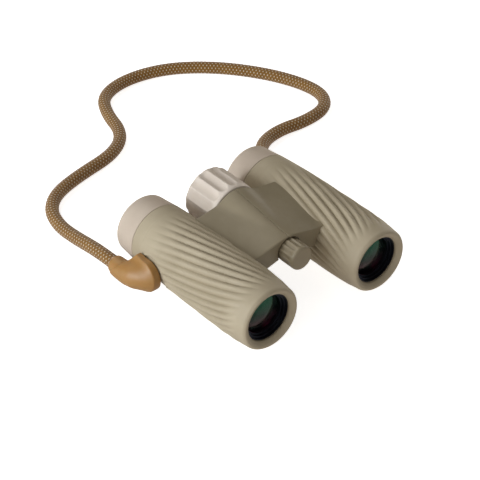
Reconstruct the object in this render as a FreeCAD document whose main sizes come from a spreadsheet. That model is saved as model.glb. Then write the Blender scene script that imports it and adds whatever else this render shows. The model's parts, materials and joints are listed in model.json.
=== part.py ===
import FreeCAD, Part
import math
import os
import re
import Sketcher
from FreeCAD import Placement, Rotation, Vector

# Compact roof-prism binoculars. Millimetres, +Z up, +Y from the objectives to the eye.
# The origin lies on the ground under the middle of the body.
# Positions along the body ("at") are counted from the objective end.
# A dimension given as text follows from the ones before it.

DIMENSIONS = {
    # overall
    "axis_spacing": 72,
    "body_length": 104,
    "cutter_spare": 5,
    "barrel_radius": 19,
    "hinge_rise": 8.7,
    "hinge_reach": "sqrt(axis_spacing ^ 2 / 4 + hinge_rise ^ 2)",
    "wheel_clearance": 2.94,
    "running_gap": 0.05,
    "free_gap": 0.3,
    # armour and barrel tube
    "armour_wall": 2.6,
    "tube_wall": 1.2,
    "nose_radius": "barrel_radius - 1.4",
    "nose_round": 3.6,
    "nose_swell": 0.7,
    "shoulder_at": 18,
    "shoulder_radius": "barrel_radius - 0.15",
    "shoulder_end": 32,
    "tail_swell": 0.6,
    "tube_recess": 0.4,
    "lip_radius": "barrel_radius - 6",
    "lip_depth": 3,
    "tail_radius": "barrel_radius - 1.04",
    "tail_from": 66,
    # objective
    "glass_radius": "lip_radius - 2.1",
    "baffle_step": 0.85,
    "baffle_depth": 4.6,
    "objective_rim": 1.2,
    "crown_seat": 0.5,
    "crown_edge": 1.6,
    "crown_curve": 42,
    "flint_edge": 2.2,
    "flint_curve": 60,
    "flint_rear_curve": 240,
    "cell_depth": 8,
    # bridge and hinge
    "bridge_front": 28.7,
    "bridge_length": 42.5,
    "seam_gap": 0.1,
    "knuckle_radius": 6.6,
    "crest_front": "knuckle_radius + 1.7",
    "crest_rear": "hinge_reach - barrel_radius - wheel_clearance - 0.8",
    "knuckle_split": 12.8,
    "knuckle_middle": 14,
    "washer_thick": 0.5,
    "shaft_radius": 5.15,
    "shaft_bore": 4.2,
    "fold_angle": 50,
    "front_inner_top": 7.7,
    "front_mid_top": 5.8,
    "front_outer_top": 4.9,
    "rear_top": 10.6,
    "rear_inner_top": 10.1,
    "rear_mid_top": 9.3,
    "rear_outer_top": 7.4,
    "arm_inner_bottom": 3.6,
    "arm_mid_bottom": 5.7,
    "arm_outer_bottom": 7.4,
    "arm_inner_x": 6.3,
    "arm_mid_x": "axis_spacing / 2 - 22",
    "arm_outer_x": "axis_spacing / 2 - 8",
    # focusing
    "focus_travel": 5,
    "diopter_travel": 0.8,
    "cell_from": 27,
    "cell_length": 20,
    "focus_radius": "glass_radius - 0.4",
    "focus_seat": 1,
    "focus_lens_at": 31,
    "focus_lens_edge": 4,
    "focus_curve": 38,
    "arm_thick": 2.4,
    "arm_height": 2.6,
    "arm_inset": 4.2,
    "left_arm_inset": 1.7,
    "slot_spare": 0.1,
    "carriage_length": 11,
    "collar_length": 4.8,
    "groove_radius": 2.7,
    "screw_radius": 1.5,
    "screw_inset": 1.5,
    "screw_flange_length": 6,
    "carriage_floor": 1,
    "rod_radius": 1.2,
    # wheel and dial
    "wheel_radius": "hinge_reach - barrel_radius - wheel_clearance",
    "wheel_length": 22.6,
    "wheel_gap": 0.4,
    "wheel_hub": 4.5,
    "wheel_rim": 2.6,
    "wheel_web": 5,
    "wheel_bearing": 2.8,
    "scallop_count": 15,
    "scallop_radius": 4.2,
    "scallop_depth": 1,
    "scallop_margin": 2.2,
    "wheel_front_round": 0.5,
    "wheel_rear_round": 2,
    "hub_inset": 4,
    "cap_thick": 1.6,
    "cap_inset": 0.6,
    "cap_step": 0.5,
    "wheel_screw_length": 10,
    "screw_head": 0.9,
    "screw_head_radius": 2.8,
    "spigot_radius": 2,
    "dial_radius": "knuckle_radius + 0.2",
    "dial_length": 10.2,
    "dial_round": 0.7,
    "dial_recess": 1.5,
    "dial_spigot": 0.6,
    "rod_seat": 5,
    "rod_inset": 0.4,
    "flute_inset": 0.8,
    "dial_clearance": 0.55,
    "flute_count": 14,
    "flute_radius": 1,
    "flute_depth": 0.5,
    # prisms
    "cage_length": 25.5,
    "cage_wall": 1.5,
    "prism_half": "(barrel_radius - 5) / 2",
    "prism_overhang": 3.2,
    "prism_gap": 0.7,
    "prism_margin": 1,
    "prism_face": 3.5,
    "roof_from": 9,
    # eyepiece
    "cup_length": 14.9,
    "cup_gap": 0.2,
    "cup_travel": 6,
    "cup_end_radius": "barrel_radius - 2.4",
    "cup_skin": 1.6,
    "cup_sleeve": 1.6,
    "cup_lip": 3.4,
    "guide_wall": 1,
    "guide_length": 8.8,
    "sleeve_floor": 1.2,
    "cup_mouth_step": 1,
    "eyepiece_wall": 1.5,
    "eyepiece_front": 10,
    "eyepiece_rear": 9.5,
    "eyepiece_flange": 2,
    "field_lens_inset": 3,
    "eye_lens_inset": 1.5,
    "eye_lens_edge": 3,
    "eye_curve": 24,
    "eye_rear_curve": 72,
    "field_curve": 48,
    "ring_thick": 4,
    "seal_radius": 0.7,
    # strap fittings
    "lug_at": 71.5,
    "lug_drop": 5,
    "lug_radius": 3.2,
    "lug_neck": 5,
    "lug_root": 0.8,
    "lug_seat": 0.6,
    "pad_radius": 10.2,
    "pad_reach": "barrel_radius - 0.6",
    "flange_radius": 8.4,
    "flange_thick": 3,
    "flange_gap": 1,
    "flange_corner_back": 8,
    "flange_corner_up": 9,
    "flange_tail_back": 20,
    "flange_tail_drop": 5,
    "flange_tail_edge": 4,
    "flange_foot_back": 1.7,
    "flange_foot_up": 8.1,
    "knee_radius": 6.2,
    "knee_reach": 4,
    "knee_drop": 0.6,
    "knee_back": 1,
    "knee_taper_start": 6,
    "knee_taper_end": 4.2,
    "knee_taper_length": 15.75,
    "elbow_radius": 4.7,
    "elbow_reach": 6,
    "elbow_drop": 3.3,
    "elbow_length": 22.5,
    "ferrule_wall": 0.6,
    "ferrule_length": 4,
    "rope_radius": 3.8,
    "rope_lead": 12,
}

SIDES = {"right": -1, "left": 1}

doc = FreeCAD.newDocument("binoculars")
sheet = doc.addObject("Spreadsheet::Sheet", "dims")
for row, (alias, value) in enumerate(DIMENSIONS.items(), start=1):
    sheet.set(f"A{row}", alias)
    sheet.set(f"B{row}", f"={value}")
    sheet.setAlias(f"B{row}", alias)
doc.recompute()

nodes = []


def formula(text):
    """An expression on the sheet's aliases, in the form that setExpression takes."""
    known = lambda word: f"dims.{word.group()}" if word.group() in DIMENSIONS else word.group()
    return re.sub(r"[a-z][a-z_]*", known, str(text))


def number(text):
    return float(sheet.evalExpression(formula(text)))


def named(piece, label):
    """Marks an object as a finished sub-part and gives it its file name."""
    piece.Label = label
    nodes.append(piece)
    return piece


# ---------------------------------------------------------------- places
GROUND = "barrel_radius"
FRONT = "-body_length / 2"
HINGE_HEIGHT = "barrel_radius + hinge_rise"


def place(piece, x="0", y=FRONT, z=GROUND, rotation=None):
    if rotation is not None:
        piece.Placement = Placement(Vector(), rotation)
    for letter, text in zip("xyz", (x, y, z)):
        piece.setExpression(f"Placement.Base.{letter}", formula(text))


def on_barrel(sign):
    return {"x": f"{sign} * axis_spacing / 2"}


ON_HINGE = {"z": HINGE_HEIGHT}


# ---------------------------------------------------------------- sketched solids
def origin_plane(body, role):
    return next(item for item in body.Origin.OriginFeatures if item.Role == role)


def sketch_on(body, name, role, offset=None):
    sketch = body.newObject("Sketcher::SketchObject", name)
    sketch.AttachmentSupport = [(origin_plane(body, role), "")]
    sketch.MapMode = "FlatFace"
    if offset is not None:
        sketch.setExpression("AttachmentOffset.Base.z", formula(offset))
    return sketch


def hold_point(sketch, line, end, across, along):
    """Ties one end of a sketch line to its two dimensions on the sheet."""
    for kind, text in (("DistanceX", across), ("DistanceY", along)):
        if number(text) == 0:
            axis = -2 if kind == "DistanceX" else -1
            sketch.addConstraint(Sketcher.Constraint("PointOnObject", line, end, axis))
        else:
            held = Sketcher.Constraint(kind, -1, 1, line, end, number(text))
            index = sketch.addConstraint(held)
            sketch.setExpression(f"Constraints[{index}]", formula(text))


def polygon(sketch, corners):
    """A closed outline of straight lines through corners given as pairs of expressions."""
    spots = [Vector(number(across), number(along), 0) for across, along in corners]
    count = len(spots)
    lines = [Part.LineSegment(spots[i], spots[(i + 1) % count]) for i in range(count)]
    sketch.addGeometry(lines, False)
    joins = [Sketcher.Constraint("Coincident", i, 2, (i + 1) % count, 1) for i in range(count)]
    sketch.addConstraint(joins)
    for line, (across, along) in enumerate(corners):
        hold_point(sketch, line, 1, across, along)


def turned(label, spot, corners, keep=True):
    """A body turned about its own Y axis from an outline of (radius, position) corners."""
    body = doc.addObject("PartDesign::Body", label)
    sketch = sketch_on(body, f"{label}_outline", "XY_Plane")
    polygon(sketch, corners)
    turn = body.newObject("PartDesign::Revolution", f"{label}_turn")
    turn.Profile = sketch
    turn.ReferenceAxis = (sketch, ["V_Axis"])
    turn.Angle = 360
    place(body, **spot)
    return named(body, label) if keep else body


def ring(label, spot, inner, outer, start, end, keep=True):
    corners = [(inner, start), (outer, start), (outer, end), (inner, end)]
    return turned(label, spot, corners, keep)


def lens(label, spot, radius, front_rim, rear_rim, front_curve, rear_curve):
    """A glass disc. A curve is a radius, positive where the glass bulges out, or 0 for flat."""
    body = doc.addObject("PartDesign::Body", label)
    sketch = sketch_on(body, f"{label}_outline", "XY_Plane")
    rim, front, rear = number(radius), number(front_rim), number(rear_rim)
    faces = ((front, front_curve, -1), (rear, rear_curve, 1))
    tops = []
    for position, curve, outward in faces:
        bend = number(curve)
        sag = abs(bend) - math.sqrt(bend * bend - rim * rim)
        tops.append(position + outward * math.copysign(sag, bend))
    edges = [
        Part.LineSegment(Vector(rim, front), Vector(rim, rear)),
        Part.LineSegment(Vector(0, tops[1]), Vector(0, tops[0])),
    ]
    for (position, curve, outward), top in zip(faces, tops):
        bend = number(curve)
        centre = Vector(0, top - outward * bend)
        start = math.atan2(position - centre.y, rim)
        finish = math.atan2(top - centre.y, 0)
        circle = Part.Circle(centre, Vector(0, 0, 1), abs(bend))
        edges.append(Part.ArcOfCircle(circle, min(start, finish), max(start, finish)))
    sketch.addGeometry(edges, False)
    front_up = edges[2].StartPoint.x > edges[2].EndPoint.x
    rear_up = edges[3].StartPoint.x > edges[3].EndPoint.x
    front_rim_end, front_top_end = (1, 2) if front_up else (2, 1)
    rear_rim_end, rear_top_end = (1, 2) if rear_up else (2, 1)
    sketch.addConstraint([
        Sketcher.Constraint("Coincident", 0, 1, 2, front_rim_end),
        Sketcher.Constraint("Coincident", 0, 2, 3, rear_rim_end),
        Sketcher.Constraint("Coincident", 1, 2, 2, front_top_end),
        Sketcher.Constraint("Coincident", 1, 1, 3, rear_top_end),
        Sketcher.Constraint("PointOnObject", 2, 3, -2),
        Sketcher.Constraint("PointOnObject", 3, 3, -2),
        Sketcher.Constraint("PointOnObject", 1, 1, -2),
        Sketcher.Constraint("PointOnObject", 1, 2, -2),
    ])
    hold_point(sketch, 0, 1, radius, front_rim)
    hold_point(sketch, 0, 2, radius, rear_rim)
    for arc, curve in ((2, front_curve), (3, rear_curve)):
        held = Sketcher.Constraint("Radius", arc, abs(number(curve)))
        index = sketch.addConstraint(held)
        sketch.setExpression(f"Constraints[{index}]", formula(f"abs({curve})"))
    turn = body.newObject("PartDesign::Revolution", f"{label}_turn")
    turn.Profile = sketch
    turn.ReferenceAxis = (sketch, ["V_Axis"])
    turn.Angle = 360
    place(body, **spot)
    return named(body, label)


def circle_edges(shape, radius):
    """Names of the full circular edges of one radius."""
    names = []
    for index, edge in enumerate(shape.Edges, start=1):
        round_edge = isinstance(edge.Curve, Part.Circle)
        if round_edge and abs(edge.Curve.Radius - number(radius)) < 0.001:
            names.append((edge.CenterOfMass.y, f"Edge{index}"))
    return [name for _, name in sorted(names)]


def round_front(body, radius, size, which=0):
    """Rounds the circular edge of one radius, counted from the front."""
    doc.recompute()
    base = body.Tip
    name = circle_edges(base.Shape, radius)[which]
    fillet = body.newObject("PartDesign::Fillet", f"{body.Name}_round")
    fillet.Base = (base, [name])
    fillet.setExpression("Radius", formula(size))
    body.Tip = fillet
    return fillet


def flute(body, name, radius, depth, size, count, start, end):
    """Cuts equal round-bottomed flutes along a turned body."""
    doc.recompute()
    before = body.Shape.Volume
    sketch = sketch_on(body, f"{name}_sketch", "XZ_Plane", f"-({end})")
    reach = f"{radius} + {size} - {depth}"
    sketch.addGeometry(Part.Circle(Vector(number(reach), 0, 0), Vector(0, 0, 1), number(size)))
    sketch.addConstraint(Sketcher.Constraint("PointOnObject", 0, 3, -1))
    for kind, text in (("DistanceX", reach), ("Radius", size)):
        if kind == "Radius":
            held = Sketcher.Constraint(kind, 0, number(text))
        else:
            held = Sketcher.Constraint(kind, -1, 1, 0, 3, number(text))
        index = sketch.addConstraint(held)
        sketch.setExpression(f"Constraints[{index}]", formula(text))
    pocket = body.newObject("PartDesign::Pocket", name)
    pocket.Profile = sketch
    pocket.Type = 0
    pocket.Reversed = True
    pocket.setExpression("Length", formula(f"{end} - ({start})"))
    doc.recompute()
    pattern = body.newObject("PartDesign::PolarPattern", f"{name}_pattern")
    pattern.Originals = [pocket]
    pattern.Axis = (sketch, ["N_Axis"])
    pattern.Angle = 360
    pattern.setExpression("Occurrences", formula(count))
    body.Tip = pattern
    doc.recompute()
    if body.Shape.Volume > before - 1:
        raise RuntimeError(f"{name} cuts nothing")


# ---------------------------------------------------------------- primitives and booleans
def primitive(kind, name, spot, **sizes):
    piece = doc.addObject(kind, name)
    for key, text in sizes.items():
        piece.setExpression(key, formula(text))
    place(piece, **spot)
    return piece


ALONG_Y = Rotation(Vector(1, 0, 0), -90)


def rod(name, spot, radius, start, end):
    """A cylinder along +Y from one position to another."""
    moved = dict(spot, y=f"{spot.get('y', FRONT)} + {start}", rotation=ALONG_Y)
    return primitive("Part::Cylinder", name, moved, Radius=radius, Height=f"{end} - ({start})")


def stud(name, sign, radius, start, end):
    """A cylinder along the lug's axis, measured outwards from the barrel's axis."""
    spot = {
        "x": f"{sign} * (axis_spacing / 2 + {start})",
        "y": f"{FRONT} + lug_at",
        "z": "barrel_radius - lug_drop",
        "rotation": Rotation(Vector(0, 1, 0), 90 * sign),
    }
    return primitive("Part::Cylinder", name, spot, Radius=radius, Height=f"{end} - ({start})")


def block(name, spot, width, length, height):
    """A box centred across X and Z, starting at its place along Y."""
    x = f"{spot.get('x', '0')} - ({width}) / 2"
    z = f"{spot.get('z', GROUND)} - ({height}) / 2"
    moved = dict(spot, x=x, z=z)
    return primitive("Part::Box", name, moved, Length=width, Width=length, Height=height)


def fuse(name, pieces):
    joined = doc.addObject("Part::MultiFuse", name)
    joined.Shapes = pieces
    return joined


def cut(name, base, tools):
    """Takes one or more tools away from a base."""
    result = doc.addObject("Part::Cut", name)
    result.Base = base
    result.Tool = tools[0] if len(tools) == 1 else fuse(f"{name}_tools", tools)
    return result


def common(name, pieces):
    shared = doc.addObject("Part::MultiCommon", name)
    shared.Shapes = pieces
    return shared


# ---------------------------------------------------------------- shared positions
BRIDGE_END = "bridge_front + bridge_length"
FRONT_WASHER = "bridge_front + knuckle_split"
MIDDLE_START = "bridge_front + knuckle_split + washer_thick + running_gap"
MIDDLE_END = "bridge_front + knuckle_split + washer_thick + running_gap + knuckle_middle"
REAR_WASHER = f"{MIDDLE_END} + running_gap"
REAR_KNUCKLE = f"{REAR_WASHER} + washer_thick"
TUBE_RADIUS = "barrel_radius - armour_wall"
TUBE_BORE = "barrel_radius - armour_wall - tube_wall"
ARMOUR_END = "body_length - cup_length - cup_gap"
TUBE_END = "body_length - cup_length - cup_gap - tube_recess"
DIAL_FACE = "bridge_front - dial_length"
RECESS_FLOOR = "bridge_front + dial_recess"
WHEEL_FACE = f"{BRIDGE_END} + wheel_gap"
WHEEL_END = f"{WHEEL_FACE} + wheel_length"
SHAFT_END = f"{WHEEL_FACE} + wheel_bearing"
GLASS_AT = "lip_depth + baffle_depth"
CELL_END = f"{GLASS_AT} + cell_depth"
CAGE_END = f"{ARMOUR_END} - eyepiece_front"
CAGE_START = f"{CAGE_END} - cage_length"
EYEPIECE_END = f"{ARMOUR_END} + eyepiece_rear"
EYEPIECE_RADIUS = f"{TUBE_BORE} - cup_sleeve - guide_wall"
CUP_START = f"{ARMOUR_END} + cup_gap"
# The arms meet the carriage inside a knuckle of their own half.
ARM_AT = {
    "right": "bridge_front + arm_inset",
    "left": f"{MIDDLE_START} + left_arm_inset",
}
SLOT_SPARE = "diopter_travel + slot_spare"


def arm_spot(sign, start):
    """On the hinge axis, with local X towards the barrel's axis."""
    slope = math.degrees(math.atan2(number("hinge_rise"), number("axis_spacing / 2")))
    turn = Rotation(Vector(0, 1, 0), slope if sign > 0 else 180 - slope)
    return {"y": f"{FRONT} + {start}", "z": HINGE_HEIGHT, "rotation": turn}


def arm_bar(name, sign, start, length, height, reach):
    """A bar from the hinge axis towards one barrel's axis."""
    spot = arm_spot(sign, start)
    bar = doc.addObject("Part::Box", name)
    bar.setExpression("Length", formula(reach))
    bar.setExpression("Width", formula(length))
    bar.setExpression("Height", formula(height))
    lift = spot["rotation"].multVec(Vector(0, 0, -number(height) / 2))
    bar.Placement = Placement(Vector(), spot["rotation"])
    bar.setExpression("Placement.Base.x", str(lift.x))
    bar.setExpression("Placement.Base.y", formula(spot["y"]))
    bar.setExpression("Placement.Base.z", formula(f"{HINGE_HEIGHT} + {lift.z}"))
    return bar


def arm_slot(side, name):
    """The space that one focusing arm needs as it travels."""
    start = f"{ARM_AT[side]} - ({SLOT_SPARE})"
    length = f"arm_thick + focus_travel + 2 * ({SLOT_SPARE})"
    height = "arm_height + 2 * free_gap"
    return arm_bar(name, SIDES[side], start, length, height, "hinge_reach")


# ---------------------------------------------------------------- bridge
def bridge_blank(name):
    """The left arm of the bridge before its hinge and seats are cut."""
    body = doc.addObject("PartDesign::Body", f"{name}_slab")
    sections = []
    tops = {
        "front": ("bridge_front", "crest_front", "front_inner_top", "front_mid_top",
                  "front_outer_top"),
        "rear": (BRIDGE_END, "rear_top", "rear_inner_top", "rear_mid_top", "rear_outer_top"),
    }
    for end, (at, crest, inner, middle, outer) in tops.items():
        sketch = sketch_on(body, f"{name}_{end}", "XZ_Plane", f"-({at})")
        polygon(sketch, [
            ("seam_gap", crest),
            ("arm_inner_x", inner),
            ("arm_mid_x", middle),
            ("arm_outer_x", outer),
            ("arm_outer_x", "-arm_outer_bottom"),
            ("arm_mid_x", "-arm_mid_bottom"),
            ("arm_inner_x", "-arm_inner_bottom"),
            ("seam_gap", "-arm_inner_bottom"),
        ])
        sections.append(sketch)
    loft = body.newObject("PartDesign::AdditiveLoft", f"{name}_loft")
    loft.Profile = sections[0]
    loft.Sections = sections[1:]
    loft.Ruled = True
    place(body, **ON_HINGE)
    hump = turned(f"{name}_hump", ON_HINGE, [
        ("0", "bridge_front"),
        ("crest_front", "bridge_front"),
        ("crest_rear", BRIDGE_END),
        ("0", BRIDGE_END),
    ], keep=False)
    half = {"x": "seam_gap + barrel_radius", "y": FRONT,
            "z": f"{HINGE_HEIGHT} - arm_inner_bottom + barrel_radius"}
    width = "2 * barrel_radius"
    upper_side = block(f"{name}_upper_side", half, width, "body_length", width)
    return fuse(f"{name}_blank", [body, common(f"{name}_quarter", [hump, upper_side])])


def mirrored(name, source):
    twin = doc.addObject("Part::Mirroring", name)
    twin.Source = source
    twin.Normal = Vector(1, 0, 0)
    return twin


left_blank = bridge_blank("arm")
blanks = {"left": left_blank, "right": mirrored("arm_mirror", left_blank)}

knuckle_spans = {
    "right": [("bridge_front", FRONT_WASHER), (REAR_KNUCKLE, BRIDGE_END)],
    "left": [(MIDDLE_START, MIDDLE_END)],
}
relief_spans = {
    "right": [(FRONT_WASHER, REAR_KNUCKLE)],
    "left": [("bridge_front", MIDDLE_START), (MIDDLE_END, BRIDGE_END)],
}


def bridge(side):
    sign = SIDES[side]
    reliefs = [
        rod(f"{side}_relief_{index}", ON_HINGE, "knuckle_radius + free_gap", start, end)
        for index, (start, end) in enumerate(relief_spans[side])
    ]
    shell = cut(f"{side}_shell", blanks[side], reliefs)
    knuckles = [
        rod(f"{side}_knuckle_{index}", ON_HINGE, "knuckle_radius", start, end)
        for index, (start, end) in enumerate(knuckle_spans[side])
    ]
    bore = "shaft_radius" if side == "right" else "shaft_radius + running_gap"
    tools = [
        rod(f"{side}_hinge_bore", ON_HINGE, bore, "0", "body_length"),
        rod(f"{side}_recess", ON_HINGE, "dial_radius + dial_clearance",
            "bridge_front - cutter_spare", RECESS_FLOOR),
        rod(f"{side}_barrel_seat", on_barrel(sign), TUBE_RADIUS, "0", "body_length"),
        arm_slot(side, f"{side}_arm_slot"),
    ]
    return named(cut(f"{side}_bridge", fuse(f"{side}_arm", [shell] + knuckles), tools), f"{side}_bridge")


# ---------------------------------------------------------------- barrels
def barrel_tube(side):
    spot = on_barrel(SIDES[side])
    blank = ring(f"{side}_tube_blank", spot, TUBE_BORE, TUBE_RADIUS, "lip_depth", TUBE_END, keep=False)
    lug_hole = stud(f"{side}_tube_lug_hole", SIDES[side], "lug_radius", "0", "barrel_radius + cutter_spare")
    tools = [arm_slot(side, f"{side}_tube_slot"), lug_hole]
    return named(cut(f"{side}_barrel_tube", blank, tools), f"{side}_barrel_tube")


def armour(side, bridge_part):
    seam_below = Rotation(Vector(0, 1, 0), 90)
    skin = turned(f"{side}_skin", dict(on_barrel(SIDES[side]), rotation=seam_below), [
        ("lip_radius", "0"),
        ("nose_radius", "0"),
        ("nose_radius + nose_swell", "shoulder_at / 2"),
        ("shoulder_radius", "shoulder_at"),
        ("barrel_radius", "shoulder_end"),
        ("barrel_radius", "tail_from"),
        ("tail_radius + tail_swell", f"(tail_from + {ARMOUR_END}) / 2"),
        ("tail_radius", ARMOUR_END),
        (TUBE_RADIUS, ARMOUR_END),
        (TUBE_RADIUS, "lip_depth"),
        ("lip_radius", "lip_depth"),
    ], keep=False)
    round_front(skin, "nose_radius", "nose_round")
    beyond = "barrel_radius + cutter_spare"
    recess = stud(f"{side}_lug_recess", SIDES[side], "pad_radius", "pad_reach", beyond)
    hole = stud(f"{side}_armour_lug_hole", SIDES[side], "lug_neck", "0", beyond)
    window = arm_slot(side, f"{side}_armour_slot")
    body = cut(f"{side}_armour", skin, [recess, hole, window, bridge_part])
    return named(body, f"{side}_armour")


def objective(side):
    spot = on_barrel(SIDES[side])
    rim = "glass_radius + objective_rim"
    turned(f"{side}_objective_baffle", spot, [
        ("glass_radius + 2 * baffle_step", "lip_depth"),
        (TUBE_BORE, "lip_depth"),
        (TUBE_BORE, GLASS_AT),
        ("glass_radius", GLASS_AT),
        ("glass_radius", "lip_depth + baffle_depth * 2 / 3"),
        ("glass_radius + baffle_step", "lip_depth + baffle_depth * 2 / 3"),
        ("glass_radius + baffle_step", "lip_depth + baffle_depth / 3"),
        ("glass_radius + 2 * baffle_step", "lip_depth + baffle_depth / 3"),
    ])
    crown_start = f"{GLASS_AT} + crown_seat"
    glass_end = f"{crown_start} + crown_edge + flint_edge"
    seal_at = f"{GLASS_AT} + cell_depth / 2"
    turned(f"{side}_objective_cell", spot, [
        (rim, GLASS_AT),
        (TUBE_BORE, GLASS_AT),
        (TUBE_BORE, f"{seal_at} - seal_radius"),
        (f"{TUBE_BORE} - 2 * seal_radius", f"{seal_at} - seal_radius"),
        (f"{TUBE_BORE} - 2 * seal_radius", f"{seal_at} + seal_radius"),
        (TUBE_BORE, f"{seal_at} + seal_radius"),
        (TUBE_BORE, CELL_END),
        ("glass_radius", CELL_END),
        ("glass_radius", glass_end),
        (rim, glass_end),
    ])
    joint = f"{crown_start} + crown_edge"
    lens(f"{side}_objective_crown", spot, rim, crown_start, joint, "crown_curve", "flint_curve")
    lens(f"{side}_objective_flint", spot, rim, joint, glass_end, "-flint_curve", "-flint_rear_curve")


def focusing(side):
    spot = on_barrel(SIDES[side])
    end = "cell_from + cell_length"
    lens_end = "focus_lens_at + focus_lens_edge"
    inner = "focus_radius - focus_seat"
    outer = f"{TUBE_BORE} - running_gap"
    seat = turned(f"{side}_focus_cell", spot, [
        ("focus_radius", "cell_from"),
        (outer, "cell_from"),
        (outer, end),
        (inner, end),
        (inner, lens_end),
        ("focus_radius", lens_end),
    ])
    lens(f"{side}_focus_lens", spot, "focus_radius", "focus_lens_at", lens_end,
         "-focus_curve", "-focus_curve")
    bar = arm_bar(f"{side}_arm_bar", SIDES[side], ARM_AT[side], "arm_thick", "arm_height", "hinge_reach")
    clear = rod(f"{side}_arm_groove", ON_HINGE, "groove_radius + running_gap", "0", "body_length")
    cell_space = rod(f"{side}_cell_space", spot, outer, "0", "body_length")
    named(cut(f"{side}_focus_arm", bar, [clear, cell_space]), f"{side}_focus_arm")
    return seat


def prism(label, sign, corners):
    """A prism cut across X from an outline of (height, position) corners."""
    body = doc.addObject("PartDesign::Body", label)
    sketch = sketch_on(body, f"{label}_outline", "YZ_Plane")
    polygon(sketch, [(along, up) for up, along in corners])
    pad = body.newObject("PartDesign::Pad", f"{label}_pad")
    pad.Profile = sketch
    pad.setExpression("Length", formula("2 * prism_half"))
    pad.Midplane = True
    place(body, **on_barrel(sign))
    return named(body, label)


def prisms(side):
    sign = SIDES[side]
    spot = on_barrel(sign)
    ring(f"{side}_prism_cage", spot, f"{TUBE_BORE} - cage_wall", TUBE_BORE, CAGE_START, CAGE_END)
    front = f"{CAGE_START} + prism_margin"
    rear = f"{CAGE_END} - prism_margin"
    half = "prism_half"
    prism(f"{side}_front_prism", sign, [
        (f"-{half}", front),
        (half, front),
        (half, f"{front} + prism_face"),
        (f"-{half}", f"{front} + prism_face + 2 * {half}"),
    ])
    prism(f"{side}_rear_prism", sign, [
        (f"-{half}", f"{front} + prism_face + 2 * {half} + prism_gap"),
        (half, f"{front} + prism_face + prism_gap"),
        (f"{half} + prism_overhang", f"{front} + roof_from"),
        (half, rear),
        (f"-{half}", rear),
    ])


def eyepiece(side):
    spot = on_barrel(SIDES[side])
    inner = f"{EYEPIECE_RADIUS} - eyepiece_wall"
    turned(f"{side}_eyepiece_tube", spot, [
        (inner, CAGE_END),
        (TUBE_BORE, CAGE_END),
        (TUBE_BORE, f"{CAGE_END} + eyepiece_flange"),
        (EYEPIECE_RADIUS, f"{CAGE_END} + eyepiece_flange"),
        (EYEPIECE_RADIUS, EYEPIECE_END),
        (inner, EYEPIECE_END),
    ])
    field_start = f"{CAGE_END} + field_lens_inset"
    lens(f"{side}_field_lens", spot, inner, field_start, f"{field_start} + eye_lens_edge",
         "field_curve", "field_curve")
    eye_end = f"{EYEPIECE_END} - eye_lens_inset"
    lens(f"{side}_eye_lens", spot, inner, f"{eye_end} - eye_lens_edge", eye_end,
         "eye_curve", "eye_rear_curve")
    ring_start = f"{TUBE_END} - ring_thick"
    ring(f"{side}_rear_ring", spot, EYEPIECE_RADIUS, TUBE_BORE, ring_start, TUBE_END)
    seals = []
    places = (
        ("front", f"{TUBE_BORE} - seal_radius", f"{GLASS_AT} + cell_depth / 2"),
        ("rear", f"{EYEPIECE_RADIUS} + seal_radius", f"{ring_start} - seal_radius"),
    )
    for name, radius, at in places:
        moved = dict(spot, y=f"{FRONT} + {at}", rotation=ALONG_Y)
        seals.append(primitive("Part::Torus", f"{side}_{name}_seal", moved,
                               Radius1=radius, Radius2="seal_radius"))
    group = doc.addObject("Part::Compound", f"{side}_seals")
    group.Links = seals
    named(group, f"{side}_seals")


def eyecup(side):
    """The cup turns on a guide ring and climbs along the eyepiece tube."""
    spot = on_barrel(SIDES[side])
    guide_inner = f"{EYEPIECE_RADIUS} + running_gap"
    guide_outer = f"{EYEPIECE_RADIUS} + guide_wall"
    ring(f"{side}_eyecup_guide", spot, guide_inner, guide_outer, CUP_START, f"{CUP_START} + guide_length")
    sleeve_inner = f"{guide_outer} + running_gap"
    sleeve_outer = "cup_end_radius - cup_skin"
    sleeve_end = "body_length - cup_lip"
    eye_opening = f"{EYEPIECE_RADIUS} - eyepiece_wall"
    turned(f"{side}_eyecup_sleeve", spot, [
        (sleeve_inner, CUP_START),
        (sleeve_outer, CUP_START),
        (sleeve_outer, sleeve_end),
        (eye_opening, sleeve_end),
        (eye_opening, f"{sleeve_end} - sleeve_floor"),
        (sleeve_inner, f"{sleeve_end} - sleeve_floor"),
    ])
    skin = turned(f"{side}_eyecup_rubber", spot, [
        (sleeve_outer, CUP_START),
        ("tail_radius", CUP_START),
        ("cup_end_radius", "body_length"),
        (f"{eye_opening} + cup_mouth_step", "body_length"),
        (f"{eye_opening} + cup_mouth_step", sleeve_end),
        (sleeve_outer, sleeve_end),
    ])
    round_front(skin, "cup_end_radius", "cup_skin")


# ---------------------------------------------------------------- strap fittings
FLANGE_START = "pad_reach + flange_gap"
FLANGE_END = "pad_reach + flange_gap + flange_thick"
OUTLET_X = "pad_reach + flange_gap + elbow_reach"


def outlet_spot(side, along):
    """A point on the axis of the connector's outlet, which runs straight back."""
    return {
        "x": f"{SIDES[side]} * (axis_spacing / 2 + {OUTLET_X})",
        "y": f"{FRONT} + lug_at + {along}",
        "z": "barrel_radius - lug_drop - elbow_drop",
    }


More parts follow.
